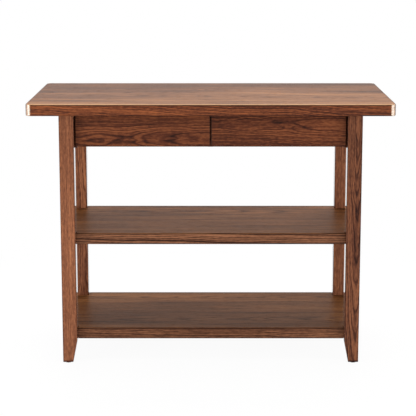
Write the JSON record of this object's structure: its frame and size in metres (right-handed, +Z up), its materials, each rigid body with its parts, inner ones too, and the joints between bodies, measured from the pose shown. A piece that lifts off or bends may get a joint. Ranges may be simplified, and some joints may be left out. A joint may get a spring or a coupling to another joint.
{
  "type": "kitchen island",
  "caption": "Wooden kitchen island: thick rounded worktop, drawers that slide out under it, and open shelves notched round legs that narrow at the feet.",
  "frame": {"origin": "on the floor, under the middle of the tabletop", "axes": "+X to the right along the front, +Y from the front to the back, +Z up"},
  "size_m": [1.22, 0.61, 0.906],
  "materials": {
    "oak_top": "walnut stain, satin lacquer",
    "oak_leg": "walnut stain, satin lacquer",
    "oak_rail": "walnut stain, satin lacquer",
    "oak_front": "walnut stain, satin lacquer",
    "oak_shelf": "walnut stain, satin lacquer",
    "drawer_wood": "clear matt lacquer",
    "beech": "bare",
    "black_steel": "black coat",
    "bright_steel": "zinc plated",
    "nylon": "matt"
  },
  "bodies": {
    "island_frame": {"tabletop": "oak_top", "leg_front_left": "oak_leg", "leg_front_right": "oak_leg", "leg_back_left": "oak_leg", "leg_back_right": "oak_leg", "side_rail_left": "oak_rail", "side_rail_right": "oak_rail", "back_rail": "oak_rail", "front_top_rail": "oak_rail", "centre_divider": "oak_rail", "middle_shelf": "oak_shelf", "lower_shelf": "oak_shelf", "foot_glides": "nylon", "frame_dowels": "beech", "cam_bolts": "bright_steel", "cam_locks": "bright_steel", "top_brackets": "bright_steel", "bracket_screws": "bright_steel", "top_screws": "bright_steel", "slide_screws": "bright_steel", "left_outer_slide_cabinet": "black_steel", "left_inner_slide_cabinet": "black_steel", "right_outer_slide_cabinet": "black_steel", "right_inner_slide_cabinet": "black_steel"},
    "left_drawer": {"left_drawer_front": "oak_front", "left_drawer_side_outer": "drawer_wood", "left_drawer_side_inner": "drawer_wood", "left_drawer_back": "drawer_wood", "left_drawer_bottom": "drawer_wood", "left_drawer_dowels": "beech", "left_drawer_screws": "bright_steel", "left_outer_slide_drawer": "black_steel", "left_inner_slide_drawer": "black_steel"},
    "right_drawer": {"right_drawer_front": "oak_front", "right_drawer_side_outer": "drawer_wood", "right_drawer_side_inner": "drawer_wood", "right_drawer_back": "drawer_wood", "right_drawer_bottom": "drawer_wood", "right_drawer_dowels": "beech", "right_drawer_screws": "bright_steel", "right_outer_slide_drawer": "black_steel", "right_inner_slide_drawer": "black_steel"},
    "left_slide_middles": {"left_outer_slide_middle": "black_steel", "left_inner_slide_middle": "black_steel"},
    "right_slide_middles": {"right_outer_slide_middle": "black_steel", "right_inner_slide_middle": "black_steel"}
  },
  "joints": [
    {"name": "left_drawer_pull", "type": "slide", "parent": "island_frame", "child": "left_drawer", "axis": [0, -1, 0], "range_m": [0, 0.38]},
    {"name": "left_slide_extend", "type": "slide", "parent": "island_frame", "child": "left_slide_middles", "axis": [0, -1, 0], "range_m": [0, 0.19]},
    {"name": "right_drawer_pull", "type": "slide", "parent": "island_frame", "child": "right_drawer", "axis": [0, -1, 0], "range_m": [0, 0.38]},
    {"name": "right_slide_extend", "type": "slide", "parent": "island_frame", "child": "right_slide_middles", "axis": [0, -1, 0], "range_m": [0, 0.19]}
  ],
  "couplings": [
    {"joint": "left_slide_extend", "follows": "left_drawer_pull", "ratio": 0.5},
    {"joint": "right_slide_extend", "follows": "right_drawer_pull", "ratio": 0.5}
  ]
}
